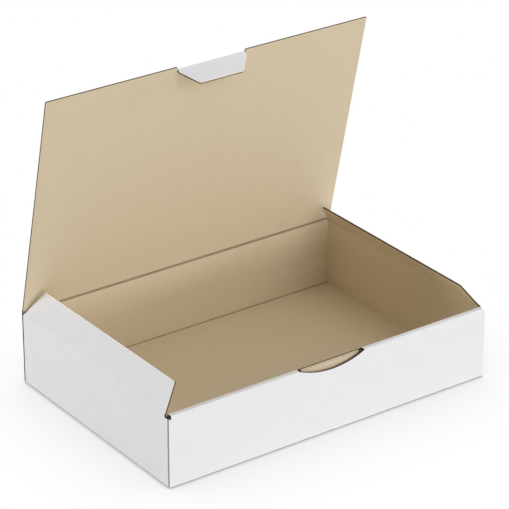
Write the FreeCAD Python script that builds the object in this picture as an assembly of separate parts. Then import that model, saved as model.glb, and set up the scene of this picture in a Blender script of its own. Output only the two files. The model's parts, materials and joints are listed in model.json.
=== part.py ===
import FreeCAD, Part
import os
from math import radians, sin, tan

# Corrugated mailer box folded from one die-cut sheet, white outside and brown kraft inside.
# Millimetres. X runs along the lid's hinge, +Y points from the front wall to the hinge wall, +Z is up.
# The origin is the middle of the base, on the table. The lid is half open, as the box is shown.

# Box, outside sizes
box_width = 305.0         # across the front, between the outer faces of the side walls
box_depth = 208.0         # front face to back face
box_height = 61.6         # table to the top of the front and back walls
board = 1.6               # thickness of the corrugated board
fold_radius = 1.2         # outside radius of a pressed fold

# Double front wall: the outer panel rolls over its top and comes down again inside
ear_play = 0.2            # play on each face of an ear, between the two front panels
roll_play = 0.2           # play between each end of the rolled-in panel and its side wall
ear_length = 45.0         # reach of an ear along the front, from the side wall's inner face
ear_slant = 10.0          # how much shorter an ear is at its top than at its foot
ear_foot_gap = 1.0        # ear's lower edge above the floor
corner_notch_width = 2.2  # relief cut at each top corner of the front wall, along X
corner_notch_drop = 2.8   # and its depth below the top

# Thumb notch in the outer front panel
thumb_chord = 63.0        # width at the top of the wall
thumb_depth = 7.0         # deepest point below the top

# Clearances of the folds that move
lid_seat_gap = 0.3        # under the closed lid and its rounded root
tab_crease_gap = 0.65     # between the tab's rounded root and the lid, as the tab folds past square
flap_crease_gap = 0.5     # under a dust flap's rounded root, which also turns a little below flat

# Lid
lid_lap = 0.5             # closed lid's raw edge past the inner face of the front wall
lid_open_angle = 76.7     # opening shown, from closed

# Tuck tab on the lid's front edge
tab_width = 64.0          # at its fold
tab_end_width = 41.0      # at its free edge
tab_length = 17.5         # fold line to free edge
tab_shoulder = 3.0        # straight part of each side, next to the fold
tab_corner_radius = 1.5   # at the free edge
tab_recess = 2.0          # folded tab's outer face behind the lid's raw edge
tab_side_play = 0.4       # relief in the lid at each end of the tab's fold
tab_fold_angle = 108.0    # fold shown, from flat

# Dust flaps on the side walls
flap_width = 25.0         # fold line to free edge
flap_rise_angle = 54.0    # shown, up from flat across the box
flap_front_play = 0.4     # front end of the fold line, from the front wall's inner face
flap_back_play = 1.0      # back end of the fold line, from the back wall's inner face
flap_front_slant = 17.0   # degrees by which the front end slopes in
flap_back_slant = 22.2    # degrees by which the back end slopes in
flap_corner_radius = 1.5  # at the free edge

# Places that follow from the sizes
half_width = box_width / 2
front_face = -box_depth / 2
back_face = box_depth / 2
side_inner = half_width - board
back_inner = back_face - board
outer_panel_inner = front_face + board
rolled_panel_front = outer_panel_inner + board + 2 * ear_play
front_wall_inner = rolled_panel_front + board
rolled_half_width = side_inner - roll_play

flap_axis_x = half_width - board / 2
flap_axis_z = box_height - board / 2
side_top = flap_axis_z - board / 2 - flap_crease_gap

lid_axis_y = back_face - board / 2
lid_axis_z = box_height + lid_seat_gap + board / 2
lid_length = lid_axis_y - front_wall_inner + lid_lap
tab_axis_y = lid_axis_y - lid_length + tab_recess + board / 2

AXIS_X = FreeCAD.Vector(1, 0, 0)
AXIS_Y = FreeCAD.Vector(0, 1, 0)


def block(x0, x1, y0, y1, z0, z1):
    return Part.makeBox(x1 - x0, y1 - y0, z1 - z0, FreeCAD.Vector(x0, y0, z0))


def rounded_face(corners):
    """Flat face through (point, radius) corners; a corner with a radius becomes a tangent arc."""
    edges = []
    tips = []
    for index, (point, radius) in enumerate(corners):
        to_last = (corners[index - 1][0] - point).normalize()
        to_next = (corners[(index + 1) % len(corners)][0] - point).normalize()
        if radius == 0:
            tips.append((point, point))
            continue
        half_turn = to_last.getAngle(to_next) / 2
        start = point + to_last * (radius / tan(half_turn))
        end = point + to_next * (radius / tan(half_turn))
        inward = (to_last + to_next).normalize()
        middle = point + inward * (radius / sin(half_turn) - radius)
        edges.append(Part.Arc(start, middle, end).toShape())
        tips.append((start, end))
    for index, (start, _) in enumerate(tips):
        edges.append(Part.LineSegment(tips[index - 1][1], start).toShape())
    return Part.Face(Part.Wire(Part.__sortEdges__(edges)))


def prism_along_x(profile, half_length):
    """Solid from a profile of (y, z, radius) corners, from -half_length to half_length."""
    corners = [(FreeCAD.Vector(-half_length, y, z), radius) for y, z, radius in profile]
    return rounded_face(corners).extrude(AXIS_X * (2 * half_length))


def prism_along_y(profile, start, end):
    """Solid from a profile of (x, z, radius) corners, from y = start to y = end."""
    corners = [(FreeCAD.Vector(x, start, z), radius) for x, z, radius in profile]
    return rounded_face(corners).extrude(AXIS_Y * (end - start))


def flat_board(outline, middle_z):
    """Board lying flat with its middle at middle_z, from (x, y, radius) corners."""
    corners = [(FreeCAD.Vector(x, y, middle_z - board / 2), radius) for x, y, radius in outline]
    return rounded_face(corners).extrude(FreeCAD.Vector(0, 0, board))


def mirrored(shape):
    return shape.mirror(FreeCAD.Vector(0, 0, 0), AXIS_X)


def one_solid(shape):
    """The single clean solid that the joined panels make."""
    return shape.removeSplitter().Solids[0]


# Outer shell: base, both side walls, back wall and outer front panel. Two prisms in common let the
# pressed folds round the base meet in mitres at the corners.
def outer_shell():
    front_to_back = prism_along_x([
        (front_face, 0, fold_radius),
        (back_face, 0, fold_radius),
        (back_face, box_height, 0),
        (front_face, box_height, fold_radius),
    ], half_width)
    side_to_side = prism_along_y([
        (-half_width, 0, fold_radius),
        (half_width, 0, fold_radius),
        (half_width, 2 * box_height, 0),
        (-half_width, 2 * box_height, 0),
    ], front_face, back_face)
    solid = front_to_back.common(side_to_side)
    inside = block(-side_inner, side_inner, outer_panel_inner, back_inner, board, 2 * box_height)
    side_tops = block(-half_width, half_width, outer_panel_inner, back_inner, side_top, 2 * box_height)
    return solid.cut(inside).cut(side_tops)


# Rolled-in panel: the strip across the top of the front wall and the inner panel that stands on the floor
def rolled_panel():
    return prism_along_x([
        (outer_panel_inner - board / 2, box_height, 0),
        (front_wall_inner, box_height, fold_radius),
        (front_wall_inner, board, 0),
        (rolled_panel_front, board, 0),
        (rolled_panel_front, box_height - board, 0),
        (outer_panel_inner - board / 2, box_height - board, 0),
    ], rolled_half_width)


# Ear at the front end of the left side wall, held between the two front panels
def left_ear():
    ear_front = outer_panel_inner + ear_play
    foot = board + ear_foot_gap
    return prism_along_y([
        (-half_width + board / 2, foot, 0),
        (-side_inner + ear_length, foot, 0),
        (-side_inner + ear_length - ear_slant, side_top, 0),
        (-half_width + board / 2, side_top, 0),
    ], ear_front, ear_front + board)


def corner_notch():
    return block(-half_width, -half_width + corner_notch_width, front_face, front_wall_inner,
                 box_height - corner_notch_drop, box_height)


# Half-moon cut through the outer panel and the strip; the inner panel keeps its straight raw top
def thumb_notch():
    radius = ((thumb_chord / 2) ** 2 + thumb_depth ** 2) / (2 * thumb_depth)
    centre = FreeCAD.Vector(0, front_face - board, box_height - thumb_depth + radius)
    disc = Part.makeCylinder(radius, rolled_panel_front - front_face + board, centre, AXIS_Y)
    above = block(-thumb_chord / 2, thumb_chord / 2, front_face - board, rolled_panel_front,
                  box_height - thumb_depth, box_height + board)
    return disc.common(above)


def tray():
    ear = left_ear()
    notch = corner_notch()
    solid = outer_shell().fuse([rolled_panel(), ear, mirrored(ear)])
    return one_solid(solid.cut([notch, mirrored(notch), thumb_notch()]))


# Lid, made closed and then opened about its hinge. Its root is rounded round the hinge line.
def lid():
    far_edge = lid_axis_y - lid_length
    panel = flat_board([
        (-half_width, lid_axis_y, 0),
        (-half_width, far_edge, 0),
        (half_width, far_edge, 0),
        (half_width, lid_axis_y, 0),
    ], lid_axis_z)
    root = Part.makeCylinder(board / 2, box_width, FreeCAD.Vector(-half_width, lid_axis_y, lid_axis_z), AXIS_X)
    relief_half = tab_width / 2 + tab_side_play
    relief = block(-relief_half, relief_half, far_edge - board, tab_axis_y + board / 2 + tab_crease_gap,
                   lid_axis_z - board, lid_axis_z + board)
    return opened_lid(one_solid(panel.fuse(root).cut(relief)))


def opened_lid(shape):
    shape.rotate(FreeCAD.Vector(0, lid_axis_y, lid_axis_z), -AXIS_X, lid_open_angle)
    return shape


# Tuck tab, made flat in line with the closed lid, then folded down and carried up with the lid
def tuck_tab():
    half_fold = tab_width / 2
    half_end = tab_end_width / 2
    panel = flat_board([
        (-half_fold, tab_axis_y, 0),
        (-half_fold, tab_axis_y - tab_shoulder, 0),
        (-half_end, tab_axis_y - tab_length, tab_corner_radius),
        (half_end, tab_axis_y - tab_length, tab_corner_radius),
        (half_fold, tab_axis_y - tab_shoulder, 0),
        (half_fold, tab_axis_y, 0),
    ], lid_axis_z)
    root = Part.makeCylinder(board / 2, tab_width, FreeCAD.Vector(-half_fold, tab_axis_y, lid_axis_z), AXIS_X)
    tab = one_solid(panel.fuse(root))
    tab.rotate(FreeCAD.Vector(0, tab_axis_y, lid_axis_z), AXIS_X, tab_fold_angle)
    return opened_lid(tab)


# Left dust flap, made flat across the box and then raised about its fold line
def left_dust_flap():
    front_end = front_wall_inner + flap_front_play
    back_end = back_inner - flap_back_play
    free_edge = -flap_axis_x + flap_width
    panel = flat_board([
        (-flap_axis_x, front_end, 0),
        (free_edge, front_end + flap_width * tan(radians(flap_front_slant)), flap_corner_radius),
        (free_edge, back_end - flap_width * tan(radians(flap_back_slant)), flap_corner_radius),
        (-flap_axis_x, back_end, 0),
    ], flap_axis_z)
    root_start = FreeCAD.Vector(-flap_axis_x, front_end, flap_axis_z)
    root = Part.makeCylinder(board / 2, back_end - front_end, root_start, AXIS_Y)
    flap = one_solid(panel.fuse(root))
    flap.rotate(root_start, -AXIS_Y, flap_rise_angle)
    return flap


left_flap = left_dust_flap()
nodes = {
    "tray": tray(),
    "lid": lid(),
    "tuck_tab": tuck_tab(),
    "left_dust_flap": left_flap,
    "right_dust_flap": mirrored(left_flap),
}

os.makedirs("parts", exist_ok=True)
for name, shape in nodes.items():
    shape.exportStep(os.path.join("parts", name + ".step"))
    box = shape.BoundBox
    print(f"{name}: solids {len(shape.Solids)}, valid {shape.isValid()}, volume {shape.Volume:.0f} mm3, "
          f"x {box.XMin:.2f}..{box.XMax:.2f}, y {box.YMin:.2f}..{box.YMax:.2f}, z {box.ZMin:.2f}..{box.ZMax:.2f}")
print(f"lid hinge y {lid_axis_y:.2f} z {lid_axis_z:.2f}; tab fold y {tab_axis_y:.2f} when closed; "
      f"flap fold x {flap_axis_x:.2f} z {flap_axis_z:.2f}")
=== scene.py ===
# %% [markdown]
# # A corrugated mailer box, half open
#
# The real box is one die-cut sheet of single-wall corrugated board, white outside and bare kraft
# inside. Corrugated board is three papers: an outer liner, a waved fluting medium and an inner
# liner. From a step away it is two flat colours, but every raw edge shows the wave between the
# papers, and every fold shows how the papers roll round it. So this lesson builds the papers and
# not a thick slab: the white and the kraft liners are meshes of their own, and so is the fluting
# wherever a raw edge lets it be seen.

import json
import math

import bmesh
import bpy
from mathutils import Matrix, Vector


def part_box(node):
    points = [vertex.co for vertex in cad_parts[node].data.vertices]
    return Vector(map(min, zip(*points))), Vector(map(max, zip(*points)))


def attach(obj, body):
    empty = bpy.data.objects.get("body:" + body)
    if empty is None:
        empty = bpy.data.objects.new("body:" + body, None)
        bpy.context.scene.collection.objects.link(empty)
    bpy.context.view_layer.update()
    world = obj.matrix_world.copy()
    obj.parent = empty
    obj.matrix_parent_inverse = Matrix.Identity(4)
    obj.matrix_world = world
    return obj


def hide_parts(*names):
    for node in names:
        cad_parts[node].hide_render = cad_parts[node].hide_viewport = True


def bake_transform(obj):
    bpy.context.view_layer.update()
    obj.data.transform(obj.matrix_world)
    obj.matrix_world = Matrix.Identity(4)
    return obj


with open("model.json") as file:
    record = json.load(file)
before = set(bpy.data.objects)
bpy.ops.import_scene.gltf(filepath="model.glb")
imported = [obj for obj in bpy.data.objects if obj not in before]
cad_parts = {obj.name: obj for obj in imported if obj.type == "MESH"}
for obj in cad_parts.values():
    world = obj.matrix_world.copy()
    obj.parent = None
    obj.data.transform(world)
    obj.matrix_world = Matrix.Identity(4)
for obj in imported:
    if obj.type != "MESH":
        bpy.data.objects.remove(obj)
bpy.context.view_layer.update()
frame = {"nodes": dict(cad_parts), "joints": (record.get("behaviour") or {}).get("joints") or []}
joints = {joint["name"]: joint for joint in frame["joints"]}
print("nodes:", sorted(frame["nodes"]))

# %% [markdown]
# ## Sizes
#
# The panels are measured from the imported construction, so this lesson follows it when a size
# changes. Only the make-up of the board and the small forms of its cut edges and creases are new
# here. E-flute board is about 1.6 mm thick, with a wave every 3.2 mm.

# %% Sizes of the board and the box
MM = 0.001
RIGHT = Vector((1, 0, 0))
BACK = Vector((0, 1, 0))
UP = Vector((0, 0, 1))
SIDES = {"left": -1, "right": 1}

board = 1.6 * MM
paper = 0.2 * MM            # one liner
medium_paper = 0.14 * MM    # the waved paper between the liners
flute_pitch = 3.2 * MM
fold_radius = 1.2 * MM      # outside radius of a pressed fold
wave_recess = 1.0 * MM      # how far the wave stops behind a raw edge, which leaves it dark
ear_play = 0.2 * MM         # on each face of an ear, between the two front panels
end_play = 0.2 * MM         # at each end of the rolled panel, between the side walls

tray_low, tray_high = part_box("tray")
half_width = tray_high.x
front_face = tray_low.y
back_face = tray_high.y
top = tray_high.z
side_inner = half_width - board
back_inner = back_face - board
outer_panel_inner = front_face + board
rolled_panel_front = outer_panel_inner + board + 2 * ear_play
front_wall_inner = rolled_panel_front + board
rolled_half_width = side_inner - end_play

hinge = Vector(joints["lid_hinge"]["pos_m"])
lid_opening = -math.radians(joints["lid_hinge"]["range_deg"][0])
lid_length = 202.5 * MM     # hinge line to the raw front edge
flap_line = Vector(joints["right_flap_fold"]["pos_m"])
flap_rise = math.radians(54)    # from flat, as the flaps stand in the photograph
tab_fold = math.radians(joints["tab_fold"]["range_deg"][1])
print(f"box {2000 * half_width:.1f} x {1000 * (back_face - front_face):.1f} x {1000 * top:.1f} mm")

# %% [markdown]
# ## Working by hand, in code
#
# Each operator acts on what is selected, so these few helpers stand for the hand on the mouse.
# Some select a piece alone or pick its faces, edges or points by where they are. The others cut,
# extrude, round, move or turn what was picked. Picking by place keeps working when a size changes,
# which picking by number wouldn't.

# %% Select and pick
HAIR = 0.01 * MM            # a point this close to a place counts as being there
CUT_THRESHOLD = 0.001 * MM


def select_only(*pieces):
    if bpy.context.object and bpy.context.object.mode != "OBJECT":
        bpy.ops.object.mode_set(mode="OBJECT")
    bpy.ops.object.select_all(action="DESELECT")
    for piece in pieces:
        piece.select_set(True)
    if pieces:
        bpy.context.view_layer.objects.active = pieces[0]


def pick(piece, kind, test):
    """Opens the piece in edit mode with only the faces, edges or verts that pass the test selected."""
    select_only(piece)
    bpy.ops.object.mode_set(mode="EDIT")
    bpy.ops.mesh.select_mode(type={"faces": "FACE", "edges": "EDGE", "verts": "VERT"}[kind])
    bpy.ops.mesh.select_all(action="DESELECT")
    shape = bmesh.from_edit_mesh(piece.data)
    shape.normal_update()
    for part in getattr(shape, kind):
        part.select_set(bool(test(part)))
    bmesh.update_edit_mesh(piece.data)


def done():
    bpy.ops.object.mode_set(mode="OBJECT")


def everything(part):
    return True


def nothing(part):
    return False


def at(x=None, y=None, z=None):
    """A test that passes what lies whole at the given coordinates."""
    wanted = [(axis, place) for axis, place in enumerate((x, y, z)) if place is not None]

    def lies_there(part):
        points = getattr(part, "verts", [part])
        return all(abs(point.co[axis] - place) < HAIR for point in points for axis, place in wanted)
    return lies_there


def facing(direction):
    """A test that passes faces that look in the direction."""
    return lambda face: face.normal.dot(direction) > 0.9


def is_side(face):
    return abs(face.normal.x) > 0.9


print("ready to pick: what lies within", HAIR / MM, "mm of its place")

# %% Cut, extrude, round, move and turn
def drop_faces(piece, test):
    pick(piece, "faces", test)
    bpy.ops.mesh.delete(type="FACE")
    done()


def divide(piece, point, normal, test=everything):
    """Divides the picked faces where a plane crosses them."""
    pick(piece, "faces", test)
    bpy.ops.mesh.bisect(plane_co=point, plane_no=normal, threshold=CUT_THRESHOLD)
    done()


def cut_away(piece, point, outward, test=everything):
    """Divides the picked faces by a plane and drops those on its outward side."""
    divide(piece, point, outward, test)
    point, outward = Vector(point), Vector(outward)
    drop_faces(piece, lambda face: test(face) and (face.calc_center_median() - point).dot(outward) > 0)


def extrude(offset):
    """Extrudes what is picked. The piece stays open in edit mode, with the new edges picked."""
    bpy.ops.mesh.extrude_region_move(TRANSFORM_OT_translate={"value": offset})


def round_edges(piece, test, radius, segments=4):
    pick(piece, "edges", test)
    bpy.ops.mesh.bevel(offset=radius, segments=segments, affect="EDGES")
    done()


def move(piece, offset, test=everything):
    pick(piece, "verts", test)
    bpy.ops.transform.translate(value=offset)
    done()


def turn(piece, centre, axis, angle, test=everything):
    """Turns the mesh about a line through centre, by the right-hand rule about +X, +Y or +Z."""
    pick(piece, "verts", test)
    bpy.ops.transform.rotate(value=-angle, orient_axis=axis, center_override=centre)
    done()


def turn_over(piece):
    pick(piece, "faces", everything)
    bpy.ops.mesh.flip_normals()
    done()


def apply_modifier(piece, kind, **settings):
    select_only(piece)
    modifier = piece.modifiers.new(kind, kind)
    for name, value in settings.items():
        setattr(modifier, name, value)
    bpy.ops.object.modifier_apply(modifier=modifier.name)


def add_block(name, low, high):
    select_only()
    low, high = Vector(low), Vector(high)
    bpy.ops.mesh.primitive_cube_add(size=1, location=(low + high) / 2, scale=high - low)
    piece = bpy.context.object
    piece.name = name
    bpy.ops.object.transform_apply(location=True, rotation=True, scale=True)
    return piece


print("ready to shape: cut, extrude, round, move and turn")

# %% [markdown]
# ## Papers
#
# The three papers differ in how they are made. The outer liner is a testliner with a thin clay
# coating: smooth, matt and neutral white. The inner liner is bare kraft testliner: recycled brown
# fibre, cloudy when held to the light, with small dark flecks, its fibres lying across the flutes.
# The fluting medium is the roughest and darkest, and its paint is darker than the real paper: it is
# painted shade for the hollows inside the board, and it also covers the backs of the liners and the
# kraft liner's cut edges. All of them could be image textures, but noise nodes have no edge and no
# repeat. The patterns read a UV map that holds each point's place on the flat sheet in millimetres,
# so they turn with the panels and follow the flutes.

# %% One function for colours and one for nodes
def colour(code):
    """Linear colour from an sRGB hex code."""
    values = [int(code[i:i + 2], 16) / 255 for i in (1, 3, 5)]
    return [v / 12.92 if v <= 0.04045 else ((v + 0.055) / 1.055) ** 2.4 for v in values] + [1.0]


def add_node(tree, kind, inputs=(), **settings):
    """Adds a node. Each input is (socket, value or another node's output)."""
    made = tree.nodes.new(kind)
    for name, value in settings.items():
        setattr(made, name, value)
    for socket, value in inputs:
        if isinstance(value, bpy.types.NodeSocket):
            tree.links.new(value, made.inputs[socket])
        else:
            made.inputs[socket].default_value = value
    return made


def new_material(name):
    material = bpy.data.materials.new(name)
    material.use_nodes = True
    return material, material.node_tree, material.node_tree.nodes["Principled BSDF"]


print("middle grey in linear light:", round(colour("#808080")[0], 3))

# %% Patterns on the flat sheet
FACTOR, FIRST_COLOUR, SECOND_COLOUR, MIXED_COLOUR = 0, 6, 7, 2  # sockets of a Mix node for colours


def on_sheet(tree, across, along):
    """Place on the flat sheet, with its millimetres across and along the flutes scaled."""
    place = add_node(tree, "ShaderNodeUVMap", uv_map="sheet")
    mapping = [("Vector", place.outputs["UV"]), ("Scale", (across, along, 1))]
    return add_node(tree, "ShaderNodeMapping", mapping).outputs["Vector"]


def noise(tree, across, along, detail, roughness=0.5):
    """Noise with grains of this many millimetres across and along the flutes."""
    settings = [("Vector", on_sheet(tree, 1 / across, 1 / along)), ("Scale", 1.0),
                ("Detail", detail), ("Roughness", roughness)]
    return add_node(tree, "ShaderNodeTexNoise", settings).outputs["Fac"]


def spread(tree, value, low, high, to_low=0.0, to_high=1.0):
    """Stretches low to high over the new range."""
    settings = [("Value", value), ("From Min", low), ("From Max", high),
                ("To Min", to_low), ("To Max", to_high)]
    return add_node(tree, "ShaderNodeMapRange", settings).outputs["Result"]


def flute_ribs(tree):
    """0 to 1 and back once a flute, across the sheet."""
    place = on_sheet(tree, 2 * math.pi * MM / flute_pitch, 0)
    across = add_node(tree, "ShaderNodeSeparateXYZ", [("Vector", place)]).outputs["X"]
    wave = add_node(tree, "ShaderNodeMath", [(0, across)], operation="SINE").outputs[0]
    return spread(tree, wave, -1, 1)


def mix_colours(tree, share, first, second):
    """The first colour where share is 0, the second where it is 1."""
    settings = [(FACTOR, share), (FIRST_COLOUR, first), (SECOND_COLOUR, second)]
    return add_node(tree, "ShaderNodeMix", settings, data_type="RGBA").outputs[MIXED_COLOUR]


def add_relief(tree, shader, first, second, depth):
    """Bump as deep as given, from the sum of two patterns."""
    height = add_node(tree, "ShaderNodeMath", [(0, first), (1, second)], operation="ADD").outputs[0]
    bump = add_node(tree, "ShaderNodeBump", [("Height", height), ("Distance", depth), ("Strength", 1.0)])
    tree.links.new(bump.outputs["Normal"], shader.inputs["Normal"])


print("one rib every", flute_pitch / MM, "mm")

# %% White liner
def white_liner(name, bright, shaded):
    """Clay-coated testliner: faint cloudiness, a fine tooth, and the flutes telegraphing through."""
    material, tree, shader = new_material(name)
    clouds = noise(tree, 20, 20, 3)
    tooth = noise(tree, 0.625, 0.417, 2)    # finer on the real coating, and this is as fine as shows
    paint = mix_colours(tree, spread(tree, clouds, 0.35, 0.65), colour(bright), colour(shaded))
    tree.links.new(paint, shader.inputs["Base Color"])
    shader.inputs["Roughness"].default_value = 0.62
    add_relief(tree, shader, flute_ribs(tree), tooth, 0.008 * MM)
    return material


# The scuffed liner is a lighter cream than the white one: the crushed coating's own cream and a painted
# highlight on the crushed rims.
papers = {"white": white_liner("clay_coated_white_liner", "#F4F4F5", "#F2F2F4"),
          "scuffed": white_liner("scuffed_white_liner", "#FFFBF2", "#FBF4E6")}
print("white papers:", sorted(papers))

# %% Kraft liner and fluting medium
def kraft_paper(name, light, dark, fleck, roughness):
    """Brown testliner: fibres lying across the flutes, cloudy formation and a few dark flecks."""
    material, tree, shader = new_material(name)
    fibres = noise(tree, 2, 0.385, 4, 0.6)  # real ones are as long but 0.03 mm thick, too fine to show
    clouds = noise(tree, 11.1, 8.33, 3)
    specks = noise(tree, 1.82, 1.25, 1)
    body = mix_colours(tree, spread(tree, fibres, 0.25, 0.75), colour(dark), colour(light))
    cloudy = mix_colours(tree, spread(tree, clouds, 0.3, 0.7, 0.0, 0.35), body, colour(dark))
    paint = mix_colours(tree, spread(tree, specks, 0.70, 0.76, 0.0, 0.45), cloudy, colour(fleck))
    tree.links.new(paint, shader.inputs["Base Color"])
    shader.inputs["Roughness"].default_value = roughness
    add_relief(tree, shader, fibres, flute_ribs(tree), 0.02 * MM)
    return material


papers["kraft"] = kraft_paper("kraft_testliner", "#E2D3B5", "#D8C7AA", "#A8916E", 0.8)
# The fluting medium's paint is darker than the paper: painted shade for the hollows between the liners.
papers["medium"] = kraft_paper("fluting_medium", "#5C4630", "#443323", "#33261A", 0.95)
papers["cut_medium"] = kraft_paper("cut_edge_of_fluting", "#9A8465", "#85704F", "#5C4630", 0.95)
papers["cut_white"] = kraft_paper("cut_edge_of_white_liner", "#EFE6D6", "#DCCDB4", "#B89C74", 0.85)
# The creased paper is darker than the kraft: compressed fibres, and painted shade for the groove.
papers["creased"] = kraft_paper("creased_kraft_testliner", "#A89A82", "#978A72", "#7A6B55", 0.9)
# The scored paper is darker than the kraft: bruised by the rule, and painted shade for the score.
papers["scored"] = kraft_paper("scored_kraft_testliner", "#C4AC8A", "#B49C7A", "#967F60", 0.9)
print("all papers:", sorted(papers))

# %% [markdown]
# ## From a drawn surface to a paper
#
# A paper is drawn first as a single surface, where its visible side lies. Solidify then gives it
# its thickness, away from that side, and paints the back and the cut edge in other papers. The
# sheet map is laid before a panel is turned to its place, because only then are its axes simple.

# %% Paper thickness, sheet map and bodies
FACE_SLOT, EDGE_SLOT, BACK_SLOT, EXTRA_SLOT = range(4)  # where a paper keeps its materials
ACROSS_AND_ALONG = {0: (2, 1), 1: (0, 2), 2: (0, 1)}    # by the axis that a face looks along


def give_papers(piece, *names):
    for name in names:
        piece.data.materials.append(papers[name])


def map_sheet(piece):
    """UV map of each corner's place on the flat sheet in mm: U across the flutes, V along them."""
    layer = piece.data.uv_layers.get("sheet") or piece.data.uv_layers.new(name="sheet")
    for face in piece.data.polygons:
        looks_along = max(range(3), key=lambda axis: abs(face.normal[axis]))
        across, along = ACROSS_AND_ALONG[looks_along]
        for corner in face.loop_indices:
            place = piece.data.vertices[piece.data.loops[corner].vertex_index].co / MM
            layer.data[corner].uv = (place[across], place[along])


def give_thickness(piece, face_paper, edge_paper):
    # The back of each liner gets the darkened medium, painted shade for the inside of the board.
    give_papers(piece, face_paper, edge_paper, "medium")
    apply_modifier(piece, "SOLIDIFY", thickness=paper, offset=-1, use_even_offset=True,
                   material_offset=BACK_SLOT, material_offset_rim=EDGE_SLOT)
    map_sheet(piece)


def smooth(piece):
    """Rounds the shading of folds and keeps flat panels flat."""
    select_only(piece)
    bpy.ops.object.shade_smooth_by_angle(angle=math.radians(35))
    apply_modifier(piece, "WEIGHTED_NORMAL", keep_sharp=True, weight=100)


def belongs(piece, body, *nodes):
    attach(piece, body)
    if nodes:
        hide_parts(*nodes)


print("paper", paper / MM, "mm on each side of a wave", (board - 2 * paper) / MM, "mm high")

# %% [markdown]
# ## Fluting
#
# The wave is what makes the board stiff, and it shows at each raw edge as a row of little arches.
# It could be drawn on the edge as a pattern, but from close by a real hollow reads differently. So
# one flute is drawn by extruding a strip in eight steps, and an Array repeats it across the panel.

# %% A flat sheet of fluting
WAVE_STEPS = 8


def flat_sheet(name, low, high, z):
    """A single flat face between two corners, at the height z."""
    select_only()
    middle = ((low[0] + high[0]) / 2, (low[1] + high[1]) / 2, z)
    bpy.ops.mesh.primitive_plane_add(size=1, location=middle)
    piece = bpy.context.object
    piece.name = name
    piece.scale = (high[0] - low[0], high[1] - low[1], 1)
    bpy.ops.object.transform_apply(location=True, rotation=True, scale=True)
    return piece


def fluting(name, width, length):
    """Waved paper lying flat on the origin, its waves across X and its flutes along Y."""
    step = flute_pitch / WAVE_STEPS
    rise = (board - 2 * paper - medium_paper) / 2
    heights = [rise * math.sin(2 * math.pi * i / WAVE_STEPS) for i in range(WAVE_STEPS + 1)]
    piece = flat_sheet(name, (0, -length / 2), (step, length / 2), 0)
    pick(piece, "edges", at(x=step))
    bpy.ops.transform.translate(value=(0, 0, heights[1]))
    for i in range(2, WAVE_STEPS + 1):
        extrude((step, 0, heights[i] - heights[i - 1]))
    done()
    waves = math.ceil(width / flute_pitch)
    apply_modifier(piece, "ARRAY", count=waves, use_relative_offset=False, use_constant_offset=True,
                   constant_offset_displace=(flute_pitch, 0, 0), use_merge_vertices=True,
                   merge_threshold=step / 10)
    move(piece, (-waves * flute_pitch / 2, 0, 0))
    cut_away(piece, (-width / 2, 0, 0), -RIGHT)
    cut_away(piece, (width / 2, 0, 0), RIGHT)
    return piece


def thicken_fluting(piece, edge_paper="medium"):
    give_papers(piece, "medium", edge_paper)
    map_sheet(piece)
    apply_modifier(piece, "SOLIDIFY", thickness=medium_paper, offset=0, material_offset_rim=EDGE_SLOT)
    select_only(piece)
    bpy.ops.object.shade_smooth_by_angle(angle=math.radians(60))


print("a wave every", flute_pitch / MM, "mm in", WAVE_STEPS, "steps")

# %% [markdown]
# ## Tray, white side
#
# The base, the side walls, the back wall and the outer front panel are one white surface outside.
# The front panel rolls over at its top and comes down again inside the box, so the front wall is
# white on its inner face too. Starting from a block with its top taken off keeps all the folds
# exactly where the construction has them; only the front has to be extruded over and down.
# The side walls end a hair behind the front panel, so that its raw edge shows at the corner.

# %% Block and pressed folds
crease_reach = 1.3 * MM     # from a hinge line to where the flat papers start
side_top = flap_line.z - crease_reach
back_top = hinge.z - crease_reach
side_start = outer_panel_inner + ear_play
flap_front = front_wall_inner + 0.4 * MM    # the flaps just clear the front and the back wall
flap_back = back_inner - 1.0 * MM


def trim_side_walls(piece):
    """Lowers the side walls to the flaps' creases. The short stretch behind them stays higher."""
    cut_away(piece, (0, 0, flap_line.z), UP, is_side)
    divide(piece, (0, flap_back, 0), BACK, is_side)
    cut_away(piece, (0, 0, side_top), UP,
             lambda face: is_side(face) and face.calc_center_median().y < flap_back)


tray_white = add_block("tray_white_liner", (-half_width, front_face, 0), (half_width, back_face, top))
drop_faces(tray_white, facing(UP))
round_edges(tray_white, at(z=0), fold_radius)
cut_away(tray_white, (0, side_start, 0), -BACK, is_side)
cut_away(tray_white, (0, back_inner, 0), BACK, is_side)
trim_side_walls(tray_white)
cut_away(tray_white, (0, 0, back_top), UP, facing(BACK))
print("white block has", len(tray_white.data.polygons), "faces")

# %% Rolled front
def is_rolled(face):
    """Passes the strip over the top and the inner panel."""
    middle = face.calc_center_median()
    is_between = front_face + 1 * MM < middle.y < front_wall_inner + HAIR
    return is_between and middle.z > fold_radius and not is_side(face)


def is_rolled_fold(edge):
    """Passes the two long folds, where the strip leaves the outer panel and where it turns down."""
    is_long = edge.calc_length() > half_width
    return is_long and (at(y=front_face, z=top)(edge) or at(y=front_wall_inner, z=top)(edge))


pick(tray_white, "edges", at(y=front_face, z=top))
extrude((0, front_wall_inner - front_face, 0))
extrude((0, 0, board - top))
done()
for sign in SIDES.values():
    cut_away(tray_white, (sign * rolled_half_width, 0, 0), sign * RIGHT, is_rolled)
round_edges(tray_white, is_rolled_fold, fold_radius)
print("rolled strip", round((front_wall_inner - front_face) / MM, 1), "mm deep")

# %% [markdown]
# ## Ears
#
# Each side wall goes on round the front corner as an ear, held between the outer and the inner
# front panel. Only its fold shows, in the notch at the corner and behind the front panel's raw end.
# A short strip would do there, but the ear is drawn whole, in the shape that a die cuts.

# %% Ears of the white side
ear_length = 45 * MM        # from the side wall's inner face
ear_slant = 10 * MM         # how much shorter an ear is at its top
ear_foot = board + 1 * MM   # its lower edge stays clear of the base


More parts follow.
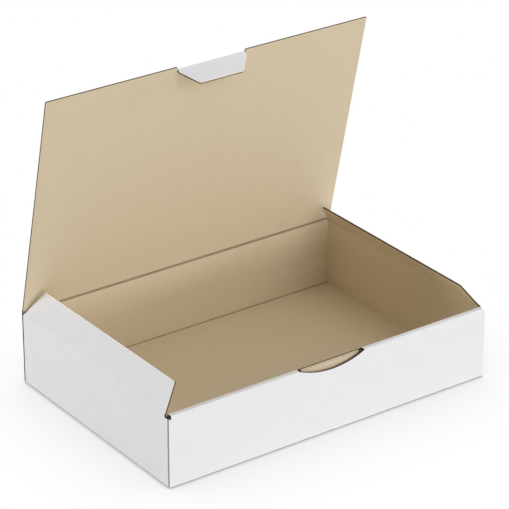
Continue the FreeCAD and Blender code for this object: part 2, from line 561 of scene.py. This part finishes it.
def draw_ear(piece, sign, x, y):
    """Extrudes the side wall's front edge, which stands at x and y, to the end of the ear."""
    pick(piece, "edges", at(x=sign * x, y=y))
    extrude((sign * (side_inner - ear_length - x), 0, 0))
    done()


def cut_ears(piece, y):
    """Slants the ends of the ears, which stand at y, and lifts their feet off the base."""
    for sign in SIDES.values():
        def is_ear(face):
            return at(y=y)(face) and face.calc_center_median().x * sign > 0

        foot_corner = (sign * (side_inner - ear_length), 0, ear_foot)
        cut_away(piece, foot_corner, (-sign * (side_top - ear_foot), 0, ear_slant), is_ear)
        cut_away(piece, foot_corner, -UP, is_ear)


for sign in SIDES.values():
    draw_ear(tray_white, sign, half_width, side_start)
    round_edges(tray_white, at(x=sign * half_width, y=side_start), fold_radius, 3)
cut_ears(tray_white, side_start)
give_thickness(tray_white, "white", "cut_white")
print("white side of the tray:", len(tray_white.data.polygons), "faces")

# %% [markdown]
# ## Thumb notch and corner notches
#
# The die cuts a shallow arc out of the front wall's top, where a thumb lifts the lid, and a small
# step at each front corner. The arc goes through the outer panel and the strip but leaves the
# inner panel whole, so its kraft face shows there as a half moon. Cutters of these shapes are
# taken out of each paper with a Boolean, which paints the new edge in the cutter's own slot. The
# same cutters serve all the papers, so the layers line up at the edge.

# %% Notches
thumb_chord = 63 * MM
thumb_depth = 7 * MM
thumb_radius = ((thumb_chord / 2) ** 2 + thumb_depth ** 2) / (2 * thumb_depth)
corner_notch_width = 2.2 * MM
corner_notch_drop = 2.8 * MM
raw_top = top - 0.5 * MM    # raw top of the inner panel behind the thumb notch
ahead = front_face - 5 * MM
above = top + 5 * MM
inner_panel_kraft = rolled_panel_front - 0.02 * MM  # a hair before that face, which stays whole


def add_notch_cutters(recess=0):
    """A disc and a block at each corner, larger by the recess, and a block over the inner panel."""
    behind = inner_panel_kraft + recess
    select_only()
    bpy.ops.mesh.primitive_cylinder_add(
        vertices=360, radius=thumb_radius + recess, depth=behind - ahead,
        location=(0, (behind + ahead) / 2, top - thumb_depth + thumb_radius),
        rotation=(math.radians(90), 0, 0))
    disc = bpy.context.object
    bpy.ops.object.transform_apply(location=True, rotation=True, scale=True)
    over = add_block("over_inner_panel", (-thumb_chord / 2, ahead, raw_top),
                     (thumb_chord / 2, front_wall_inner + 5 * MM, above))
    notch_side = half_width - corner_notch_width - recess
    past_side = half_width + 1 * MM
    corners = [add_block("corner_notch", (left, ahead, top - corner_notch_drop - recess),
                         (right, front_wall_inner + 0.1 * MM, above))
               for left, right in ((-past_side, -notch_side), (notch_side, past_side))]
    cutters = [disc, over, *corners]
    for cutter in cutters:
        give_papers(cutter, "medium", "medium")
        for face in cutter.data.polygons:
            face.material_index = EDGE_SLOT
    return cutters


def notch(piece, cutters):
    """Cuts a paper. The new edges get the cut-edge paper, because they keep the cutter's slot."""
    for cutter in cutters:
        apply_modifier(piece, "BOOLEAN", operation="DIFFERENCE", object=cutter, solver="EXACT")


def remove(pieces):
    select_only(*pieces)
    bpy.ops.object.delete()


cutters = add_notch_cutters()
notch(tray_white, cutters)
smooth(tray_white)
belongs(tray_white, "tray", "tray")
print("thumb notch radius", round(thumb_radius / MM, 2), "mm")

# %% [markdown]
# ## Tray, kraft side
#
# Inside, the same sheet is bare kraft. The photograph shows no line where the side walls rise from
# the floor, so those folds are plain. Where the back wall rises, the pressed score shows as a thin
# line. A real groove takes the shadow of the light and is dark from every side, so that corner gets a
# small V pressed into the board. Its faces are painted darker too: partly paper that the rule has
# bruised, partly painted shade.

# %% Inner block, rolled front and ears
ear_back = side_start + board
tray_kraft = add_block("tray_kraft_liner", (-side_inner, outer_panel_inner, board),
                       (side_inner, back_inner, top))
drop_faces(tray_kraft, facing(UP))
turn_over(tray_kraft)
cut_away(tray_kraft, (0, ear_back, 0), -BACK, is_side)
trim_side_walls(tray_kraft)
cut_away(tray_kraft, (0, 0, back_top), UP, facing(-BACK))
cut_away(tray_kraft, (0, 0, top - board), UP, facing(BACK))
pick(tray_kraft, "edges", at(y=outer_panel_inner, z=top - board))
extrude((0, rolled_panel_front - outer_panel_inner, 0))
extrude((0, 0, 2 * board - top))
done()
for sign in SIDES.values():
    cut_away(tray_kraft, (sign * rolled_half_width, 0, 0), sign * RIGHT,
             lambda face: facing(-UP)(face) or at(y=rolled_panel_front)(face))
for sign in SIDES.values():
    draw_ear(tray_kraft, sign, side_inner, ear_back)
cut_ears(tray_kraft, ear_back)
print("kraft block has", len(tray_kraft.data.polygons), "faces")

# %% Score at the foot of the back wall
score_reach = 0.7 * MM
score_depth = 0.3 * MM

pick(tray_kraft, "edges", at(y=back_inner, z=board))
bpy.ops.mesh.bevel(offset=score_reach, segments=2, profile=1.0, affect="EDGES")
done()
move(tray_kraft, (0, score_depth, -score_depth), at(y=back_inner, z=board))
give_thickness(tray_kraft, "kraft", "medium")
give_papers(tray_kraft, "scored")
# The score's faces are painted darker: partly paper bruised by the rule, partly painted shade.
for face in tray_kraft.data.polygons:
    in_shaded_score = face.center.y > back_inner - score_reach and face.center.z < board + score_reach
    if face.material_index == FACE_SLOT and in_shaded_score:
        face.material_index = EXTRA_SLOT
notch(tray_kraft, cutters)
smooth(tray_kraft)
belongs(tray_kraft, "tray")
print("kraft side:", len(tray_kraft.data.polygons), "faces")

# %% Kraft lip of the inner panel, which shows through the thumb notch
centre_height = thumb_radius - thumb_depth      # of the notch's circle, above the top
lip_half = math.sqrt(thumb_radius ** 2 - (centre_height + board) ** 2)
lip = add_block("inner_panel_lip", (-lip_half, rolled_panel_front, top - board - paper),
                (lip_half, rolled_panel_front + paper, raw_top))
round_edges(lip, at(z=raw_top), 0.06 * MM, 2)
give_papers(lip, "kraft")
map_sheet(lip)
smooth(lip)
belongs(lip, "tray")
print("lip", round(2 * lip_half / MM, 1), "mm wide")

# %% [markdown]
# ## Fluting of the tray
#
# The wave shows in the front wall's notches and at the raw ends of the front and the back panel.
# The base and the side walls have next to no raw edge in sight, so they go without. The wave stops
# a little behind a raw edge, which makes that edge dark between the liners, so the cutters for the
# fluting are larger by as much.

# %% Upright and rolled panels
def upright_fluting(name, half_length, y, low, high):
    """Fluting of a panel that stands across the box at y, its flutes upright."""
    piece = fluting(name, 2 * half_length, high - low)
    turn(piece, (0, 0, 0), "X", math.radians(90))
    move(piece, (0, y, (low + high) / 2))
    return piece


front_fluting = upright_fluting("front_fluting", half_width - wave_recess, front_face + board / 2,
                                board, top - board)
strip_fluting = fluting("rolled_strip_fluting", 2 * rolled_half_width,
                        rolled_panel_front - outer_panel_inner)
move(strip_fluting, (0, (rolled_panel_front + outer_panel_inner) / 2, top - board / 2))
inner_fluting = upright_fluting("inner_panel_fluting", rolled_half_width, front_wall_inner - board / 2,
                                board, raw_top)
back_fluting = upright_fluting("back_fluting", half_width - wave_recess, back_face - board / 2,
                               board, back_top)
tray_fluting = [front_fluting, strip_fluting, inner_fluting, back_fluting]
for piece in tray_fluting:
    thicken_fluting(piece)
    belongs(piece, "tray")
remove(cutters)
disc, over, *corners = add_notch_cutters(wave_recess)
for piece in (front_fluting, strip_fluting):
    notch(piece, [disc, *corners])
remove([disc, over, *corners])
print("fluting of the tray:", [len(piece.data.polygons) for piece in tray_fluting], "faces")

# %% [markdown]
# ## Lid, tuck tab and dust flaps
#
# These are flat panels, so they are drawn lying flat as on the die-cut sheet, closed over the box,
# and swung to where the photograph has them at the very end. A steel rule cuts their outline and
# crushes the board a little as it does: the liners lean towards each other over the last
# millimetre. An inset ring whose outer edge is lowered gives that, and it is what catches a fine
# light line along each edge. On the white side the ring is also painted lighter, as a painted
# highlight. The fold side is cut clean after that, where the crease takes over.

# %% Crushed cut edges
crush_width = 0.9 * MM
crush_depth = 0.16 * MM


def crush_cut_edges(piece, inward, stays):
    """Leans the sheet's rim inward, which is -1 for the top liner and 1 for the bottom one."""
    pick(piece, "faces", everything)
    bpy.ops.mesh.dissolve_limited(angle_limit=math.radians(1))
    bpy.ops.mesh.select_all(action="SELECT")
    bpy.ops.mesh.inset(thickness=crush_width)
    done()
    move(piece, (0, 0, inward * crush_depth), lambda v: v.is_boundary and not stays(v))


def scuff_and_highlight(piece):
    """Paints the leaning ring lighter than the liner: the cream where the crushed coating lets the paper
    through, and a painted highlight along the cut edge.
    """
    give_papers(piece, "scuffed")
    for face in piece.data.polygons:
        leans_a_little = 0.9 < face.normal.z < 0.9999
        if leans_a_little:
            face.material_index = EXTRA_SLOT


print("die-cut edges lean", crush_depth / MM, "mm over", crush_width / MM, "mm")

# %% Both liners of a flat panel
cut_radius = 1.5 * MM       # of a die-cut corner
spare = 6 * MM              # a panel is drawn this much longer, and its fold side then cut clean


def window(piece, low, high):
    """Cuts a rectangle out of a flat sheet."""
    for place in (low[0], high[0]):
        divide(piece, (place, 0, 0), RIGHT)
    for place in (low[1], high[1]):
        divide(piece, (0, place, 0), BACK)
    drop_faces(piece, lambda face: all(low[i] < face.calc_center_median()[i] < high[i] for i in (0, 1)))


def round_corners(piece, test):
    pick(piece, "verts", test)
    bpy.ops.mesh.bevel(offset=cut_radius, segments=5, affect="VERTICES")
    done()


def make_liners(name, low, high, z, cut_outline, cut_fold_side, stays=nothing):
    """White liner above and kraft liner below. What stays at its height isn't crushed."""
    pair = []
    for side, sign in (("white", 1), ("kraft", -1)):
        piece = flat_sheet(f"{name}_{side}_liner", low, high, z + sign * board / 2)
        cut_outline(piece)
        crush_cut_edges(piece, -sign, stays)
        cut_fold_side(piece)
        if side == "kraft":
            turn_over(piece)
            give_thickness(piece, "kraft", "medium")
        else:
            give_thickness(piece, "white", "cut_white")
            scuff_and_highlight(piece)
        pair.append(piece)
    return pair


print("corners are rounded to", cut_radius / MM, "mm")

# %% Lid
tab_axis = Vector((0, -96.5 * MM, hinge.z))
tab_reach = 1.45 * MM       # from the tab's fold line to where the flat papers start
tab_half = 32 * MM
slit = 0.4 * MM
lid_front = hinge.y - lid_length
lid_back = hinge.y - crease_reach
relief_back = tab_axis.y + tab_reach    # the lid is cut back to here behind the tab


def cut_relief(piece, recess=0):
    side = tab_half + slit + recess
    window(piece, (-side, lid_front - spare), (side, relief_back))


def cut_lid_back(piece):
    cut_away(piece, (0, lid_back, 0), BACK)


lid_papers = make_liners("lid", (-half_width, lid_front), (half_width, lid_back + spare), hinge.z,
                         cut_relief, cut_lid_back, at(y=relief_back))
lid_fluting = fluting("lid_fluting", 2 * (half_width - wave_recess), lid_back - lid_front - wave_recess)
move(lid_fluting, (0, (lid_back + lid_front + wave_recess) / 2, hinge.z))
cut_relief(lid_fluting, wave_recess)
thicken_fluting(lid_fluting)
lid_papers.append(lid_fluting)
print("lid:", [len(piece.data.polygons) for piece in lid_papers], "faces")

# %% Tuck tab
tab_end_half = 20.5 * MM
tab_shoulder = 3 * MM
tab_length = 17.5 * MM
tab_start = tab_axis.y - tab_reach
tab_end = tab_axis.y - tab_length


def slant_tab(piece, recess=0):
    """Slants the tab's sides from its shoulders to its end."""
    for sign in SIDES.values():
        shoulder = (sign * (tab_half - recess), tab_axis.y - tab_shoulder, 0)
        cut_away(piece, shoulder, (sign * (tab_length - tab_shoulder), tab_end_half - tab_half, 0))


def cut_tab(piece):
    slant_tab(piece)
    round_corners(piece, at(y=tab_end))


def cut_tab_start(piece):
    cut_away(piece, (0, tab_start, 0), BACK)


tab_papers = make_liners("tuck_tab", (-tab_half, tab_end), (tab_half, tab_start + spare), hinge.z,
                         cut_tab, cut_tab_start)
tab_fluting = fluting("tuck_tab_fluting", 2 * (tab_half - wave_recess),
                      tab_start - tab_end - wave_recess)
move(tab_fluting, (0, (tab_start + tab_end + wave_recess) / 2, hinge.z))
slant_tab(tab_fluting, wave_recess)
thicken_fluting(tab_fluting)
tab_papers.append(tab_fluting)
print("tab:", [len(piece.data.polygons) for piece in tab_papers], "faces")

# %% Dust flaps
flap_width = 25 * MM
front_slant = math.radians(17)
back_slant = math.radians(22.2)


def make_flap(name, sign):
    """A flap lying flat over the box. Sign is -1 for the left one and 1 for the right one."""
    fold = sign * flap_line.x
    free = fold - sign * flap_width
    start = fold - sign * crease_reach

    def slant_ends(piece):
        front_outward = (-sign * math.sin(front_slant), -math.cos(front_slant), 0)
        back_outward = (-sign * math.sin(back_slant), math.cos(back_slant), 0)
        cut_away(piece, (fold, flap_front, 0), front_outward)
        cut_away(piece, (fold, flap_back, 0), back_outward)

    def cut_flap(piece):
        slant_ends(piece)
        round_corners(piece, at(x=free))

    def cut_flap_start(piece):
        cut_away(piece, (start, 0, 0), sign * RIGHT)

    left, right = sorted((free, start + sign * spare))
    made = make_liners(name, (left, flap_front - 2 * spare), (right, flap_back + 2 * spare),
                       flap_line.z, cut_flap, cut_flap_start)
    waves = fluting(name + "_fluting", flap_width - crease_reach - wave_recess, flap_back - flap_front)
    move(waves, ((free + sign * wave_recess + start) / 2, (flap_front + flap_back) / 2, flap_line.z))
    slant_ends(waves)
    thicken_fluting(waves, "cut_medium")
    return made + [waves]


flap_papers = {side: make_flap(f"{side}_dust_flap", sign) for side, sign in SIDES.items()}
for side, pieces in flap_papers.items():
    print(side, "flap:", [len(piece.data.polygons) for piece in pieces], "faces")

# %% [markdown]
# ## Creases
#
# A crease is the same board, pressed thin by a rule from the kraft side, so it has a groove inside
# and a round, unbroken white face outside. Each crease is a band of its own between two flat
# panels: drawn straight, cut into thin levels, grooved, and bent a little more at each level, to the
# angle at rest.

# %% A band of board across a fold line
CREASE_STEPS = 10
EDGE_PAPER, WHITE_PAPER, KRAFT_PAPER, GROOVE_PAPER = range(4)
half_board = board / 2
groove_half = 1.2 * MM
groove_depth = 0.45 * MM
flap_groove_depth = 0.2 * MM    # the flaps' creases hardly show in the photograph


def levels(reach):
    """Heights of the band's rows of points, from the fixed panel to the moving one."""
    return [reach * (2 * i / CREASE_STEPS - 1) for i in range(CREASE_STEPS + 1)]


def crease_band(name, low, high, centre, outward, upward, reach, depth=groove_depth, lining="creased"):
    """Straight band about centre. Outward is its white side, upward points to the moving panel."""
    band = add_block(name, low, high)
    for level in levels(reach)[1:-1]:
        divide(band, centre + upward * level, upward)
    # The groove's faces get the lining paper, which for the lid and the tab is the creased paper,
    # darkened as painted shade.
    give_papers(band, "medium", "white", "kraft", lining)
    for face in band.data.polygons:
        looks_outward = face.normal.dot(outward)
        if looks_outward > 0.5:
            face.material_index = WHITE_PAPER
        elif looks_outward > -0.5:
            face.material_index = EDGE_PAPER
        elif abs((face.center - centre).dot(upward)) < groove_half:
            face.material_index = GROOVE_PAPER
        else:
            face.material_index = KRAFT_PAPER
    map_sheet(band)
    for level in levels(reach)[1:-1]:
        pressed = depth * max(0, math.cos(level / groove_half * math.pi / 2))
        move(band, outward * pressed, lambda v: (v.co - centre).dot(outward) < 0
             and abs((v.co - centre).dot(upward) - level) < HAIR)
    return band


def bend(band, centre, upward, reach, axis, angle):
    """Turns each level by a growing share of the angle, slowly at both ends."""
    heights = [(v.co - centre).dot(upward) for v in band.data.vertices]
    turned = 0
    for i, level in enumerate(levels(reach)):
        share = i / CREASE_STEPS
        wanted = angle * share * share * (3 - 2 * share)
        turn(band, centre, axis, wanted - turned, lambda v: heights[v.index] > level - HAIR)
        turned = wanted


print("each crease has", CREASE_STEPS, "levels and a groove", groove_depth / MM, "mm deep")

# %% Creases of the lid, the tuck tab and the flaps
lid_bend = math.pi / 2 - lid_opening
flap_bend = math.pi / 2 - flap_rise

lid_crease = crease_band("lid_crease", (-half_width, hinge.y - half_board, back_top),
                         (half_width, hinge.y + half_board, hinge.z + crease_reach),
                         hinge, BACK, UP, crease_reach)
bend(lid_crease, hinge, UP, crease_reach, "X", lid_bend)

tab_crease = crease_band("tab_crease", (-tab_half, tab_axis.y - tab_reach, hinge.z - half_board),
                         (tab_half, tab_axis.y + tab_reach, hinge.z + half_board),
                         tab_axis, UP, -BACK, tab_reach)
bend(tab_crease, tab_axis, -BACK, tab_reach, "X", tab_fold)

flap_creases = {}
for side, sign in SIDES.items():
    centre = Vector((sign * flap_line.x, 0, flap_line.z))
    band = crease_band(f"{side}_flap_crease", (centre.x - half_board, flap_front, side_top),
                       (centre.x + half_board, flap_back, centre.z + crease_reach),
                       centre, sign * RIGHT, UP, crease_reach, flap_groove_depth, "kraft")
    bend(band, centre, UP, crease_reach, "Y", -sign * flap_bend)
    flap_creases[side] = band
print("bends at rest:", [round(math.degrees(a), 1) for a in (lid_bend, tab_fold, flap_bend)], "degrees")

# %% [markdown]
# ## Swinging the panels to where the photograph has them
#
# Everything so far lies as on a closed box. The tab is folded about its crease, the lid carries it
# up, and the flaps rise from the side walls. Each turn is about the joint's own axis, taken from
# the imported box, so the pieces land on the construction with no fitting.

# %% Swing
for piece in tab_papers:
    turn(piece, tab_axis, "X", tab_fold)
for piece in lid_papers + tab_papers + [tab_crease]:
    turn(piece, hinge, "X", -lid_opening)
for side, sign in SIDES.items():
    for piece in flap_papers[side]:
        turn(piece, (sign * flap_line.x, 0, flap_line.z), "Y", sign * flap_rise)

for body, pieces in (("lid", lid_papers), ("tuck_tab", tab_papers),
                     ("left_dust_flap", flap_papers["left"]), ("right_dust_flap", flap_papers["right"])):
    for piece in pieces:
        smooth(piece)
    belongs(pieces[0], body, body)
    for piece in pieces[1:]:
        belongs(piece, body)
print("lid edge now at", [round(c / MM, 1) for c in lid_papers[0].bound_box[6]], "mm")

# %% Creases, smoothed and baked in place
def follow(band):
    """Bakes the band's place into its mesh."""
    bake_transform(band)


for band in (lid_crease, tab_crease, *flap_creases.values()):
    smooth(band)
follow(lid_crease)
follow(tab_crease)
for side, sign in SIDES.items():
    follow(flap_creases[side])
print("creases blended:", 2 + len(flap_creases))

# %% [markdown]
# ## Floor
#
# The photograph shows the box alone on pure white, softly lit, with no more than a soft grey where
# it meets the floor. A floor that is lit to pure white would lose that grey, so what the camera sees
# of the floor is white dimmed by how much of the sky the box hides there, which Ambient Occlusion
# measures. To every other ray the floor is plain white paper that throws light back at the box.

# %% What shows the background, and how white the floor is
open_floor = 0.975          # the share of open sky from which the floor counts as fully open


def seen_directly(tree):
    """1 for rays that show the background: from the camera, in a reflection or through glass."""
    path = add_node(tree, "ShaderNodeLightPath")
    two = [(0, path.outputs["Is Camera Ray"]), (1, path.outputs["Is Glossy Ray"])]
    either = add_node(tree, "ShaderNodeMath", two, operation="MAXIMUM").outputs[0]
    three = [(0, either), (1, path.outputs["Is Transmission Ray"])]
    return add_node(tree, "ShaderNodeMath", three, operation="MAXIMUM").outputs[0]


def whiteness(tree, reach, curve):
    """How white the floor is, from the share of the sky that is open within the reach."""
    sky = add_node(tree, "ShaderNodeAmbientOcclusion", [("Distance", reach)], samples=16)
    share = spread(tree, sky.outputs["AO"], 0, open_floor)
    return add_node(tree, "ShaderNodeMath", [(0, share), (1, curve)], operation="POWER").outputs[0]


print("floor is white where", 100 * open_floor, "% of the sky is open")

# %% Floor of white paper
floor_size = 12             # metres
floor_white = 0.8
shadow_reach = 0.09         # metres from the box to where the floor is pure white
shadow_curve = 0.23         # makes the grey fade slowly
contact_reach = 0.004       # metres
contact_curve = 0.7         # deepens the last millimetres to a thin line

select_only()
bpy.ops.mesh.primitive_plane_add(size=floor_size, location=(0, 0, 0))
floor = bpy.context.object
floor.name = "floor"
floor_paper, tree, shader = new_material("white_paper_floor")
shader.inputs["Base Color"].default_value = (floor_white, floor_white, floor_white, 1)
shader.inputs["Roughness"].default_value = 0.9
shader.inputs["Specular IOR Level"].default_value = 0.2
floor.data.materials.append(floor_paper)

shades = [(0, whiteness(tree, shadow_reach, shadow_curve)),
          (1, whiteness(tree, contact_reach, contact_curve))]
both = add_node(tree, "ShaderNodeMath", shades, operation="MULTIPLY")
glow = add_node(tree, "ShaderNodeEmission", [("Strength", both.outputs[0])])
choice = [("Fac", seen_directly(tree)), (1, shader.outputs["BSDF"]), (2, glow.outputs["Emission"])]
either = add_node(tree, "ShaderNodeMixShader", choice)
tree.links.new(either.outputs["Shader"], tree.nodes["Material Output"].inputs["Surface"])
print("floor reflects", floor_white, "and its shadow reaches", shadow_reach, "m")

# %% [markdown]
# ## Light
#
# The box was lit softly from all round, with each face at a level of its own. One large lamp would
# give a soft look but not those levels, so eight softboxes stand around the box, each in charge of
# the faces that look at it, and their powers were matched to the photograph. The left one stands
# behind the lid's plane, so that the lid keeps its light off the inside of the right flap, which is
# darker. The world fills in evenly, and what shows the background directly sees it white.

# %% World and lights
world_level = 0.21
world = bpy.data.worlds.new("white_studio")
bpy.context.scene.world = world
world.use_nodes = True
backdrop = world.node_tree.nodes["Background"]
backdrop.inputs["Color"].default_value = (1, 1, 1, 1)
level = spread(world.node_tree, seen_directly(world.node_tree), 0, 1, world_level, 1.0)
world.node_tree.links.new(level, backdrop.inputs["Strength"])


def add_softbox(name, place, size, power):
    """A square softbox that faces the box, its place and size in metres and its power in watts."""
    select_only()
    bpy.ops.object.light_add(type="AREA", location=place)
    lamp = bpy.context.object
    lamp.name = name
    lamp.data.size = size
    lamp.data.energy = power
    lamp.rotation_euler = (-Vector(place)).to_track_quat("-Z", "Y").to_euler()


add_softbox("front_softbox", (0.9, -2.2, 1.3), 1.4, 11)
add_softbox("high_front_softbox", (0.3, -2.0, 2.0), 1.6, 7)
add_softbox("low_front_softbox", (-0.3, -2.8, 0.5), 1.2, 9)
add_softbox("table_height_softbox", (-0.3, -2.8, 0.22), 0.4, 13.5)
add_softbox("left_softbox", (-2.4, 1.5, 0.5), 0.8, 33)
add_softbox("right_softbox", (2.7, -0.35, 0.7), 0.6, 24)
add_softbox("overhead_softbox", (0, -0.3, 2.6), 2.0, 9)
add_softbox("back_softbox", (0.5, 2.6, 1.0), 1.6, 20)

# %% [markdown]
# ## Camera
#
# The photograph looks down on the box from its front left, and from so far away that its upright
# edges stay nearly parallel. A view can be set by eye, but the angles, the distance and the lens
# change the picture together, so they were fitted together, until the box's corners fell on their
# places in the photograph.

# %% Camera
target = Vector((0.00058, 0, 0.11126))
azimuth = math.radians(-35.68)
elevation = math.radians(25.978)
distance = 2.2415
away = Vector((math.sin(azimuth) * math.cos(elevation), -math.cos(azimuth) * math.cos(elevation),
               math.sin(elevation)))
select_only()
bpy.ops.object.camera_add(location=target + away * distance,
                          rotation=away.to_track_quat("Z", "Y").to_euler())
camera = bpy.context.object
camera.data.lens = 200.84
bpy.context.scene.camera = camera
bpy.context.scene.view_settings.view_transform = "Standard"
print("camera", round(distance, 3), "m away,", camera.data.lens, "mm lens")
